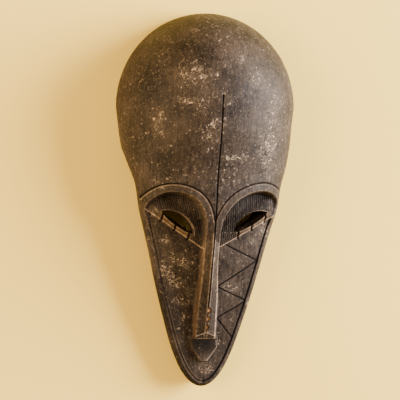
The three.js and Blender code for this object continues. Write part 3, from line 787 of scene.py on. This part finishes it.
def column_place(sign, column, y):
    """Where a column crosses row y, from the middle line out to the edge"""
    width = half_width(y)
    straightened = smooth(0, 20, width)
    middle = 0.5 * lean_at(y) * straightened
    lean = lean_at(y) * straightened
    top = np.minimum(nose_half_width(y), 0.45 * width)
    foot = np.minimum(nose_half_width(y) + nose_spread(y), 0.6 * width)
    inside = np.maximum(width - BEAD_WIDTH, 0.75 * width)
    bead = inside + (width - inside) * math.sin(
        math.pi / 2 * min(1, max(0, (column - BEAD_COLUMN) / (EDGE_COLUMN - BEAD_COLUMN))))
    if column <= NOSE_COLUMNS:
        t = column / NOSE_COLUMNS
        return sign * (sign * middle + (sign * lean + top - sign * middle) * t)
    if column <= WALL_COLUMNS:
        t = (column - NOSE_COLUMNS) / (WALL_COLUMNS - NOSE_COLUMNS)
        return sign * (sign * lean + top + (foot - top) * t)
    if column <= BEAD_COLUMN:
        t = (column - WALL_COLUMNS) / (BEAD_COLUMN - WALL_COLUMNS)
        start = sign * lean + foot
        return sign * (start + (inside - start) * t)
    return sign * bead


def front_grid(rows):
    """The front as a grid that is drawn together into a point at the chin and at the dome, and the
    row and side of each vertex on its border"""
    last_row = len(rows) - 1
    last_column = 2 * EDGE_COLUMN
    bm = bmesh.new()
    bmesh.ops.create_grid(bm, x_segments=last_column, y_segments=last_row, size=1)
    columns = [column_place(-1 if c < EDGE_COLUMN else 1, abs(c - EDGE_COLUMN), rows)
               for c in range(last_column + 1)]
    gx = np.array(columns).T
    gy = np.repeat(rows[:, None], gx.shape[1], axis=1)
    gz = carve(gx, gy)[0]
    edge = edge_height(rows)
    gz[:, 0] = gz[:, -1] = edge
    border = {}
    ends = {0: [], last_row: []}
    for v in bm.verts:
        c = round((v.co.x + 1) * EDGE_COLUMN)
        r = round((v.co.y + 1) / 2 * last_row)
        v.co = (gx[r, c] * MM, gy[r, c] * MM, gz[r, c] * MM)
        if r in ends:
            v.co = (0, rows[r] * MM, edge[r] * MM)
            ends[r].append(v)
        elif c in (0, last_column):
            border[v] = (r, -1 if c == 0 else 1)
    for r, verts in ends.items():
        bmesh.ops.pointmerge(bm, verts=verts, merge_co=verts[0].co)
        pole = min(bm.verts, key=lambda v: abs(v.co.y - rows[r] * MM))
        border[pole] = (r, 0)
    return bm, border


def handed_on(labels, made):
    """The labels of a ring of vertices, handed on to the ring that was drawn out of it"""
    new = {}
    for v in made:
        if isinstance(v, bmesh.types.BMVert):
            for e in v.link_edges:
                if e.other_vert(v) in labels:
                    new[v] = labels[e.other_vert(v)]
    return new


def draw_border(bm, border, place):
    """Draws the open border out by one ring of faces, to a place for each row and side"""
    rim = [e for e in bm.edges if e.is_boundary]
    made = bmesh.ops.extrude_edge_only(bm, edges=rim)["geom"]
    border = handed_on(border, made)
    for v, (r, sign) in border.items():
        v.co = [c * MM for c in place(r, sign)]
    return border, [f for f in made if isinstance(f, bmesh.types.BMFace)]


def carved_shell():
    """One closed shell: the front, with its border drawn down the side wall, over the rim and up
    into the hollow"""
    rows = row_places()
    bm, border = front_grid(rows)
    nx, ny = outwards(rows)
    tuck = tuck_at(rows)
    width = half_width(rows)
    edge = edge_height(rows)
    inner_y = HOLLOW_START + (rows - CHIN_Y) / MASK_LENGTH * (HOLLOW_END - HOLLOW_START)
    inner_width = hollow_half_width(inner_y)
    inner_width[0] = inner_width[-1] = 0

    for share in WALL_RINGS:
        def on_wall(r, sign):
            inset = tuck[r] * share ** 2
            x = max(0, width[r] - inset * nx[r])
            return sign * x, rows[r] - inset * ny[r], edge[r] * (1 - share)
        border = draw_border(bm, border, on_wall)[0]
    border = draw_border(bm, border, lambda r, sign: (sign * inner_width[r], inner_y[r], 0))[0]
    for k in range(1, HOLLOW_RINGS + 1):
        def on_hollow(r, sign):
            x = inner_width[r] * math.cos(math.pi / 2 * k / HOLLOW_RINGS)
            return sign * x, inner_y[r], float(hollow_height(x, inner_y[r]))
        border, bare = draw_border(bm, border, on_hollow)
        for f in bare:
            f.material_index = 1
    bmesh.ops.remove_doubles(bm, verts=list(border), dist=MERGED)
    bmesh.ops.dissolve_degenerate(bm, edges=bm.edges[:], dist=MERGED)
    bmesh.ops.recalc_face_normals(bm, faces=bm.faces[:])
    return bm


def slit_block(side):
    """The block that is taken out of the lid to open the slit, with a sloping lower wall"""
    surface = float(lid_height(side, *(np.array(c) for c in side.to_face(0, 0))))
    flare = 1.12
    # Each level's length, upper and lower reach, and height, from above the lid to the rim
    levels = [
        (flare, SLIT_UPPER * flare, SLIT_LOWER * 1.5, surface + 9),
        (1, SLIT_UPPER, SLIT_LOWER, surface - 1),
        (0.9, SLIT_UPPER * 0.95, 0, surface - WALL),
        (0.9, SLIT_UPPER * 0.95, 0, 1)]
    steps = 24
    thinnest = 0.02
    bm = bmesh.new()
    bmesh.ops.create_circle(bm, segments=2 * steps, radius=1)
    turn = {v: round(math.atan2(v.co.y, v.co.x) / math.pi * steps) % (2 * steps) for v in bm.verts}

    def shape(verts, scale, upper, lower, z):
        for v, i in verts.items():
            t = 1 - 2 * i / steps if i < steps else -1 + 2 * (i - steps) / steps
            bow = (1 - t * t) ** SLIT_BOW
            height = upper if i < steps else -max(lower, thinnest)
            x, y = side.to_face(t * SLIT_HALF_LENGTH * scale, height * bow)
            v.co = (x * MM, y * MM, z * MM)

    shape(turn, *levels[0])
    ring = bm.edges[:]
    bmesh.ops.contextual_create(bm, geom=ring)
    for level in levels[1:]:
        made = bmesh.ops.extrude_edge_only(bm, edges=ring)["geom"]
        turn = handed_on(turn, made)
        shape(turn, *level)
        ring = [e for e in made if isinstance(e, bmesh.types.BMEdge)]
        ring = [e for e in ring if all(v in turn for v in e.verts)]
    bmesh.ops.contextual_create(bm, geom=ring)
    bmesh.ops.recalc_face_normals(bm, faces=bm.faces[:])
    return bm


def to_object(bm, name):
    mesh = bpy.data.meshes.new(name)
    bm.to_mesh(mesh)
    bm.free()
    made = bpy.data.objects.new(name, mesh)
    bpy.context.collection.objects.link(made)
    return made


def linear(code, alpha=1.0):
    """The linear colour of an sRGB hex value"""
    parts = [int(code[i:i + 2], 16) / 255 for i in (1, 3, 5)]
    return [c / 12.92 if c <= 0.04045 else ((c + 0.055) / 1.055) ** 2.4 for c in parts] + [alpha]


def add(tree, kind, inputs=None, **settings):
    """Adds a node with its settings, and its inputs as values or links"""
    node = tree.nodes.new(kind)
    for name, value in settings.items():
        setattr(node, name, value)
    for name, value in (inputs or {}).items():
        if isinstance(value, bpy.types.NodeSocket):
            tree.links.new(value, node.inputs[name])
        else:
            node.inputs[name].default_value = value
    return node


def reckon(tree, operation, *values, clamp=False):
    """The result of one sum on values or sockets"""
    inputs = dict(enumerate(values))
    return add(tree, "ShaderNodeMath", inputs, operation=operation, use_clamp=clamp).outputs[0]


def ranged(tree, value, low, high, to_low=0, to_high=1):
    """A value carried from one range to another and held within it"""
    return add(tree, "ShaderNodeMapRange", {
        "Value": value, "From Min": low, "From Max": high, "To Min": to_low,
        "To Max": to_high}).outputs[0]


def mixed(tree, share, under, over):
    """The over colour, laid on the under colour by a share"""
    return add(tree, "ShaderNodeMix", {0: share, 6: under, 7: over}, data_type="RGBA").outputs[2]


def own(tree, name):
    """One of the mesh's own fields"""
    return add(tree, "ShaderNodeAttribute", attribute_name=name).outputs["Fac"]


def cloudy(tree, place, size, detail, roughness=0.5, distortion=0):
    """Noise whose repeat is about size millimetres"""
    return add(tree, "ShaderNodeTexNoise", {
        "Vector": place, "Scale": 1 / (size * MM), "Detail": detail, "Roughness": roughness,
        "Distortion": distortion}).outputs[0]


def new_material(name):
    material = bpy.data.materials.new(name)
    material.use_nodes = True
    material.node_tree.nodes.clear()
    return material, material.node_tree


# Colours of the mask's wood, its stain and its marks, with painted highlight along edges and
# painted shade
STAIN_DEEP = linear("#17120f")
STAIN_THIN = linear("#43382f")
HAZE = linear("#7d6c5c")
SCUFFED = linear("#82705e")
MARK_BROWN = linear("#8f6a4a")
MARK_PALE = linear("#e2cfb8")
WORN_WOOD = linear("#86643f")
# Pale edges: partly rubbed wood, partly painted highlight where an edge catches the light
RUBBED_EDGE_AND_HIGHLIGHT = linear("#b2967c")
# Dark for dirt in the cuts, and for painted shade
DIRT_AND_SHADE = linear("#0c0907")
CHIPPED_WOOD = linear("#b08864")
HOLLOW_DARK = linear("#32241a")
HOLLOW_LIGHT = linear("#6b4d34")


def pale_marks(tree, place, dusty, broken):
    """Where pale marks show: curled lines where they gather, and specks all over"""
    # Curled marks: thin level lines of a noise, broken into short lengths of 2 to 6 mm
    curl = cloudy(tree, place, 7, 1, distortion=1.2)
    curl = reckon(tree, "ABSOLUTE", reckon(tree, "SUBTRACT", curl, 0.5))
    curl = ranged(tree, curl, 0.03, 0.012)
    reach = reckon(tree, "MULTIPLY_ADD", dusty, 0.3, broken)
    curl = reckon(tree, "MULTIPLY", curl, ranged(tree, reach, 0.63, 0.73))
    # Specks of 1 mm are scattered everywhere, closer where marks gather
    often = reckon(tree, "MULTIPLY_ADD", dusty, 0.05, cloudy(tree, place, 2.4, 2, 0.6))
    mark = reckon(tree, "MAXIMUM", curl, ranged(tree, often, 0.7, 0.76))
    return reckon(tree, "MULTIPLY", mark, ranged(tree, dusty, 0, 0.7, 0.45, 0.9))


def dirt_in_cuts_and_painted_shade(tree):
    """Where stain and dirt lie dark, in every cut line and between the strokes around the eyes, and
    where shade is painted: the nose's shadow on the mouth and on the cheek left of it; the face is
    also darker towards the chin
    """
    line = ranged(tree, own(tree, "line_away"), 1.3, 0.6)
    line = reckon(tree, "MULTIPLY", line, own(tree, "line_strength"))
    turn = reckon(tree, "MULTIPLY", own(tree, "phase"), 2 * math.pi)
    wave = ranged(tree, reckon(tree, "COSINE", turn), -0.2, 0.7)
    wave = reckon(tree, "MULTIPLY", wave, own(tree, "strokes"))
    return reckon(tree, "MAXIMUM", reckon(tree, "MAXIMUM", line, wave), own(tree, "shaded"))


def stained_wood():
    # Hardwood, carved with a knife, stained brown-black and waxed by hand. The stain pools along
    # the fibres, pale dust and lost stain show as specks, and rubbed edges show the brown wood.
    # Pale edge lines are partly painted highlight, and the mouth and the cheek left of the nose are
    # painted dark as the nose's shadow
    material, tree = new_material("hardwood_carved_stained_waxed")
    place = add(tree, "ShaderNodeTexCoord").outputs["Object"]
    stretched = {"Vector": place, "Scale": (1, 0.16, 0.7)}
    along_grain = add(tree, "ShaderNodeMapping", stretched).outputs[0]
    # Patches of stain 40 mm across, and fibres 1.3 mm wide, twice the real width so that they show
    patch = cloudy(tree, place, 40, 4)
    fibre = cloudy(tree, along_grain, 2.6, 4, 0.65, 0.5)
    tone = ranged(tree, reckon(tree, "MULTIPLY", patch, fibre), 0.14, 0.42)
    colour = mixed(tree, tone, STAIN_DEEP, STAIN_THIN)
    # Pale haze gathers where hands have worn the stain thin
    dusty = own(tree, "marked")
    mottle = cloudy(tree, place, 7, 6, 0.75)
    haze = reckon(tree, "MULTIPLY", ranged(tree, mottle, 0.4, 0.7, 0, 0.6), dusty)
    colour = mixed(tree, haze, colour, HAZE)
    # Fine scuffs 1 to 2 mm across cover it all, drawn a little coarser than they are
    scuff = ranged(tree, cloudy(tree, place, 3, 3, 0.7, 1), 0.52, 0.78, 0, 0.4)
    colour = mixed(tree, scuff, colour, SCUFFED)
    broken = cloudy(tree, place, 5.2, 1.5, 0.6)
    mark = pale_marks(tree, place, dusty, broken)
    colour = mixed(tree, mark, colour, mixed(tree, mottle, MARK_BROWN, MARK_PALE))
    # Rubbed surfaces and edges show the wood, more where the hand slides and less in the hollows,
    # and the edges also carry painted highlight
    rubbed = ranged(tree, broken, 0.34, 0.56, 0.35)
    worn = reckon(tree, "MULTIPLY", own(tree, "worn"), rubbed)
    colour = mixed(tree, worn, colour, WORN_WOOD)
    # Pale lines along edges: partly rubbed wood, partly painted highlight where an edge catches the
    # light
    edge = ranged(tree, own(tree, "edge_away"), 1.0, 0.35)
    edge = reckon(tree, "MULTIPLY", edge, own(tree, "edge_wear_and_highlight"))
    colour = mixed(tree, reckon(tree, "MULTIPLY", edge, rubbed), colour, RUBBED_EDGE_AND_HIGHLIGHT)
    # Dirt in the cuts and strokes, and painted shade from the nose
    dark = dirt_in_cuts_and_painted_shade(tree)
    colour = mixed(tree, dark, colour, DIRT_AND_SHADE)
    colour = mixed(tree, own(tree, "raw"), colour, CHIPPED_WOOD)
    # Wax shines a little on the fibres, and neither on the marks nor in the dirt and painted shade
    rough = ranged(tree, fibre, 0.3, 0.7, 0.5, 0.64)
    rough = reckon(tree, "ADD", rough, mark, clamp=True)
    rough = reckon(tree, "ADD", rough, dark, clamp=True)
    relief = reckon(tree, "ADD", reckon(tree, "SUBTRACT", fibre, mark), mottle)
    bump = add(tree, "ShaderNodeBump", {
        "Strength": 0.5, "Distance": 0.8 * MM, "Height": relief}).outputs[0]
    shader = add(tree, "ShaderNodeBsdfPrincipled", {
        "Base Color": colour, "Roughness": rough, "Normal": bump, "IOR": 1.5,
        "Specular IOR Level": 0.1}).outputs[0]
    add(tree, "ShaderNodeOutputMaterial", {"Surface": shader})
    return material


def bare_hollow():
    # The same hardwood, hollowed with an adze and left without stain or wax: dull, dry and darkened
    # by handling, with the fibre showing.
    material, tree = new_material("hardwood_adzed_bare")
    place = add(tree, "ShaderNodeTexCoord").outputs["Object"]
    stretched = {"Vector": place, "Scale": (1, 0.08, 1)}
    along_grain = add(tree, "ShaderNodeMapping", stretched).outputs[0]
    # Fibres 3 mm wide and adze cuts 16 mm across
    fibre = cloudy(tree, along_grain, 5, 5, 0.65)
    cuts = add(tree, "ShaderNodeTexVoronoi", {"Vector": place, "Scale": 1 / (16 * MM)},
               feature="SMOOTH_F1").outputs["Distance"]
    colour = mixed(tree, fibre, HOLLOW_DARK, HOLLOW_LIGHT)
    relief = reckon(tree, "ADD", fibre, cuts)
    bump = add(tree, "ShaderNodeBump", {
        "Strength": 0.6, "Distance": 1.2 * MM, "Height": relief}).outputs[0]
    shader = add(tree, "ShaderNodeBsdfPrincipled", {
        "Base Color": colour, "Roughness": 0.85, "Normal": bump, "IOR": 1.5}).outputs[0]
    add(tree, "ShaderNodeOutputMaterial", {"Surface": shader})
    return material


def shell_with_slits():
    """The mesh of the carved shell with both slits cut through it"""
    shell = to_object(carved_shell(), "shell")
    blocks = [to_object(slit_block(side), "slit_block") for side in SIDES]
    for block in blocks:
        cut = shell.modifiers.new("slit", "BOOLEAN")
        cut.operation = "DIFFERENCE"
        cut.solver = "MANIFOLD"
        cut.object = block
    seen = shell.evaluated_get(bpy.context.evaluated_depsgraph_get())
    mesh = bpy.data.meshes.new_from_object(seen)
    mesh.name = "carved_mask"
    for unused in [shell] + blocks:
        bpy.data.objects.remove(unused)
    return mesh


def add_fields(mesh):
    """Gives each vertex the marks of the front there, for the material to read"""
    places = np.empty(len(mesh.vertices) * 3)
    mesh.vertices.foreach_get("co", places)
    places = places.reshape(-1, 3) / MM
    marks = carve(places[:, 0], places[:, 1])[1]
    # The side wall lies below the front's edge and takes none of the front's lines
    on_front = places[:, 2] > edge_height(places[:, 1]) - 1
    for name in ("line_strength", "edge_wear_and_highlight", "shaded", "worn", "raw", "strokes"):
        marks[name] = marks[name] * on_front
    for name, values in marks.items():
        mark = mesh.attributes.new(name, "FLOAT", "POINT")
        mark.data.foreach_set("value", values.astype(np.float32))


def make_mask():
    mesh = shell_with_slits()
    mesh.materials.clear()
    mesh.materials.append(stained_wood())
    mesh.materials.append(bare_hollow())
    mesh.polygons.foreach_set("use_smooth", [True] * len(mesh.polygons))
    mesh.set_sharp_from_angle(angle=math.radians(SHARP_ANGLE))
    add_fields(mesh)
    made = bpy.data.objects.new("carved_mask", mesh)
    bpy.context.collection.objects.link(made)
    return made


mask = make_mask()
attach(mask, "root")
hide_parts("mask")


# The stage, in metres and watts
FLOOR_HALF_SIZE = 4
FLOOR_CREAM = linear("#ffda62")
CAMERA_DISTANCE = 1.6
CAMERA_YAW = math.radians(12)
CAMERA_PITCH = math.radians(-3)
CAMERA_ROLL = math.radians(1.4)
CAMERA_LEFT = 0.00267
CAMERA_DOWN = 0.00013
SENSOR_WIDTH_MM = 36
LENS_MM = 118.27
LIGHTS_AIM = Vector((0, 0, 0.04))
ROOM_GLOW = linear("#ffe0a8")
ROOM_GLOW_STRENGTH = 0.6


def pale_floor():
    # Painted plaster, flat and matt
    material = bpy.data.materials.new("plaster_painted_cream")
    material.use_nodes = True
    shader = material.node_tree.nodes["Principled BSDF"]
    shader.inputs["Base Color"].default_value = FLOOR_CREAM
    shader.inputs["Roughness"].default_value = 0.9
    bm = bmesh.new()
    bmesh.ops.create_grid(bm, x_segments=1, y_segments=1, size=FLOOR_HALF_SIZE)
    made = to_object(bm, "floor")
    made.data.materials.append(material)
    return made


pale_floor()


def place_camera():
    """The photograph's view: a little from the left and from above the crown"""
    yaw_sin, yaw_cos = math.sin(CAMERA_YAW), math.cos(CAMERA_YAW)
    pitch_sin, pitch_cos = math.sin(CAMERA_PITCH), math.cos(CAMERA_PITCH)
    across = Vector((yaw_cos, 0, yaw_sin))
    upward = Vector((-yaw_sin * pitch_sin, pitch_cos, yaw_cos * pitch_sin))
    back = Vector((-yaw_sin * pitch_cos, -pitch_sin, yaw_cos * pitch_cos))
    right = across * math.cos(CAMERA_ROLL) + upward * math.sin(CAMERA_ROLL)
    up = upward * math.cos(CAMERA_ROLL) - across * math.sin(CAMERA_ROLL)
    data = bpy.data.cameras.new("camera")
    data.sensor_width = SENSOR_WIDTH_MM
    data.lens = LENS_MM
    camera = bpy.data.objects.new("camera", data)
    bpy.context.collection.objects.link(camera)
    turn = Matrix((right, up, back)).transposed().to_4x4()
    place = back * CAMERA_DISTANCE - right * CAMERA_LEFT - up * CAMERA_DOWN
    camera.matrix_world = Matrix.Translation(place) @ turn
    bpy.context.scene.camera = camera


def place_light(name, place, size, power, colour):
    """A square soft light that is turned towards the mask"""
    data = bpy.data.lights.new(name, "AREA")
    data.size = size
    data.energy = power
    data.color = linear(colour)[:3]
    light = bpy.data.objects.new(name, data)
    bpy.context.collection.objects.link(light)
    aim = LIGHTS_AIM - Vector(place)
    turn = aim.to_track_quat("-Z", "Y").to_matrix().to_4x4()
    light.matrix_world = Matrix.Translation(place) @ turn


def light_room():
    """Dim light from everywhere, as a room's pale walls give"""
    world = bpy.data.worlds.new("room")
    world.use_nodes = True
    background = world.node_tree.nodes["Background"]
    background.inputs["Color"].default_value = ROOM_GLOW
    background.inputs["Strength"].default_value = ROOM_GLOW_STRENGTH
    bpy.context.scene.world = world


place_camera()
place_light("window", (2.3, 0.5, 0.88), 1.6, 410, "#f6f5fa")
place_light("room", (-1.9, 0.3, 1.1), 1.8, 95, "#ffe4bc")
light_room()
